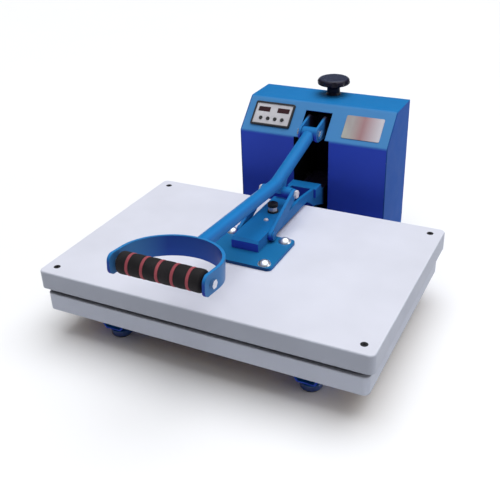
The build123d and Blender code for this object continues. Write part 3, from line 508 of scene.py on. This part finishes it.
def silicone_sheet():
    """Sponge sheet on the table with a slightly swollen edge."""
    low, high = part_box("silicone_pad")
    middle = (low + high) / 2
    size = high - low
    outline = rounded_outline(size.x / 2, size.y / 2, SHEET_CORNER)
    bm = bmesh.new()
    loops = []
    for i in range(SHEET_LEVELS):
        t = i / (SHEET_LEVELS - 1)
        inset = SHEET_SWELL * (1.0 - math.sqrt(max(1.0 - (2.0 * t - 1.0) ** 2, 0.0)))
        fit_x = 1.0 - 2.0 * inset / size.x
        fit_y = 1.0 - 2.0 * inset / size.y
        z = low.z + size.z * t
        loops.append([bm.verts.new((middle.x + x * fit_x, middle.y + y * fit_y, z)) for x, y in outline])
    for near, far in zip(loops, loops[1:]):
        skin(bm, near, far)
    bm.faces.new(loops[0])
    bm.faces.new(loops[-1])
    sheet = mesh_piece("silicone_sheet", bm, SILICONE, "frame", "silicone_pad")


grip()
silicone_sheet()


# ---------------------------------------------------------------- stage

FLOOR_HALF = 30.0

# Sky strength by the height of its direction: (from, to, strength at from, strength at to)
OVERHEAD = (0.45, 0.95, 0.02, 1.15)
HORIZON_BAND = (0.065, 0.11, 1.05, 0.0)

# Camera: aim point from the cover's top centre, turn, rise and roll in degrees, distance and lens
CAMERA_AIM = (0.03842, -0.06605, 0.04175)
CAMERA_TURN = (27.40, 29.21, -2.15)
CAMERA_DISTANCE = 1.27596
CAMERA_LENS = 53.78


def floor():
    """A wide, pale, plain floor under the feet."""
    mesh = bpy.data.meshes.new("floor")
    bm = bmesh.new()
    bmesh.ops.create_grid(bm, x_segments=4, y_segments=4, size=FLOOR_HALF)
    bm.to_mesh(mesh)
    bm.free()
    obj = bpy.data.objects.new("floor", mesh)
    obj.location.z = cad_low.z
    scene.collection.objects.link(obj)
    s = Shader("floor")
    s.set(color=s.mix(s.noise(3.0), (0.86, 0.86, 0.87), (0.88, 0.88, 0.89)), roughness=0.9)
    mesh.materials.append(s.material)


def area_light(name, location, target, size, power):
    """A soft box, size metres wide and high, aimed at a target."""
    data = bpy.data.lights.new(name, "AREA")
    data.shape = "RECTANGLE"
    data.size, data.size_y = size
    data.energy = power
    obj = bpy.data.objects.new(name, data)
    obj.location = location
    obj.rotation_euler = (Vector(target) - Vector(location)).to_track_quat("-Z", "Y").to_euler()
    scene.collection.objects.link(obj)


def soft_sun(name, to_right, to_back, spread, strength):
    """A wide overhead light, leaning a few degrees to the right and back."""
    data = bpy.data.lights.new(name, "SUN")
    data.angle = math.radians(spread)
    data.energy = strength
    obj = bpy.data.objects.new(name, data)
    place = Vector((math.tan(math.radians(to_right)), math.tan(math.radians(to_back)), 1.0))
    obj.rotation_euler = (-place).to_track_quat("-Z", "Y").to_euler()
    scene.collection.objects.link(obj)


def world(color):
    """A soft studio sky: bright overhead, dim at the sides, with a pale band along the horizon."""
    scene.world = bpy.data.worlds.new("studio")
    scene.world.use_nodes = True
    tree = scene.world.node_tree
    background = tree.nodes["Background"]
    background.inputs["Color"].default_value = (*color, 1.0)
    split = tree.nodes.new("ShaderNodeSeparateXYZ")
    tree.links.new(tree.nodes.new("ShaderNodeTexCoord").outputs["Generated"], split.inputs[0])
    total = tree.nodes.new("ShaderNodeMath")
    total.operation = "ADD"
    tree.links.new(total.outputs[0], background.inputs["Strength"])
    for k, (start, end, low, high) in enumerate((OVERHEAD, HORIZON_BAND)):
        ramp = tree.nodes.new("ShaderNodeMapRange")
        ramp.inputs["From Min"].default_value = start
        ramp.inputs["From Max"].default_value = end
        ramp.inputs["To Min"].default_value = low
        ramp.inputs["To Max"].default_value = high
        tree.links.new(split.outputs["Z"], ramp.inputs["Value"])
        tree.links.new(ramp.outputs["Result"], total.inputs[k])


def camera():
    """A camera to the front right and above, set from the cover's top centre."""
    low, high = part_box("platen_cover")
    top = Vector(((low.x + high.x) / 2, (low.y + high.y) / 2, high.z))
    target = top + Vector(CAMERA_AIM)
    az, el, roll = (math.radians(a) for a in CAMERA_TURN)
    ahead = Vector((-math.sin(az) * math.cos(el), math.cos(az) * math.cos(el), -math.sin(el)))
    right = Vector((math.cos(az), math.sin(az), 0.0))
    up = right.cross(ahead)
    x = right * math.cos(roll) + up * math.sin(roll)
    y = up * math.cos(roll) - right * math.sin(roll)
    data = bpy.data.cameras.new("camera")
    data.lens = CAMERA_LENS
    data.sensor_width = 36.0
    data.clip_end = 100.0
    obj = bpy.data.objects.new("camera", data)
    place = target - ahead * CAMERA_DISTANCE
    obj.matrix_world = Matrix((
        (x.x, y.x, -ahead.x, place.x),
        (x.y, y.y, -ahead.y, place.y),
        (x.z, y.z, -ahead.z, place.z),
        (0.0, 0.0, 0.0, 1.0),
    ))
    scene.collection.objects.link(obj)
    scene.camera = obj


floor()
world((0.95, 0.97, 1.0))
soft_sun("top_light", 8.0, 11.0, 60.0, 1.95)
area_light("side_light", (2.8, 0.6, 0.8), (0.0, 0.1, 0.15), (1.2, 1.2), 17.0)
scene.view_settings.view_transform = "Standard"
camera()
